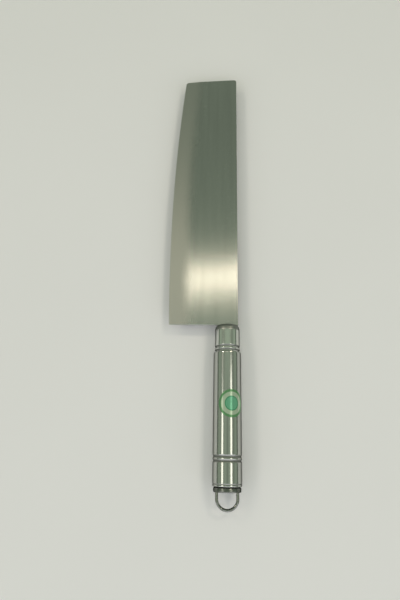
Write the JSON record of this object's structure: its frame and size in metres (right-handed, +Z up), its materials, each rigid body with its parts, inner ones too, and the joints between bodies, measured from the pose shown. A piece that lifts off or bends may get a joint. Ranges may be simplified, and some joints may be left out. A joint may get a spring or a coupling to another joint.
{
  "type": "kitchen knife",
  "caption": "Broad slicing kitchen knife with a straight spine, a gently curved ground edge, a tubular steel handle and a wire hanging loop that swings in the end cap.",
  "frame": {"origin": "on the table under the middle of the knife, which lies on its side: the centre of the bottom of its bounding box", "axes": "+Y along the handle's axis towards the blade's tip, +X towards the spine, +Z up, square to the blade's sides"},
  "size_m": [0.0555, 0.3643, 0.0202],
  "materials": {
    "blade_steel": "satin, brushed along the blade",
    "ferrule_steel": "polished stainless steel",
    "core_resin": "cast resin",
    "grip_steel": "polished stainless steel",
    "cap_steel": "polished stainless steel",
    "wire_steel": "bright drawn wire",
    "label_film": "printed film, a plain green disc in a pale ring"
  },
  "bodies": {
    "knife": {"blade": "blade_steel", "ferrule": "ferrule_steel", "tang_core": "core_resin", "grip_tube": "grip_steel", "end_cap": "cap_steel", "label": "label_film"},
    "loop": {"hanging_loop": "wire_steel"}
  },
  "joints": [
    {"name": "loop_swing", "type": "hinge", "parent": "knife", "child": "loop", "pos_m": [0.01775, -0.16565, 0.01], "axis": [1, 0, 0], "range_deg": [-30, 30]}
  ]
}
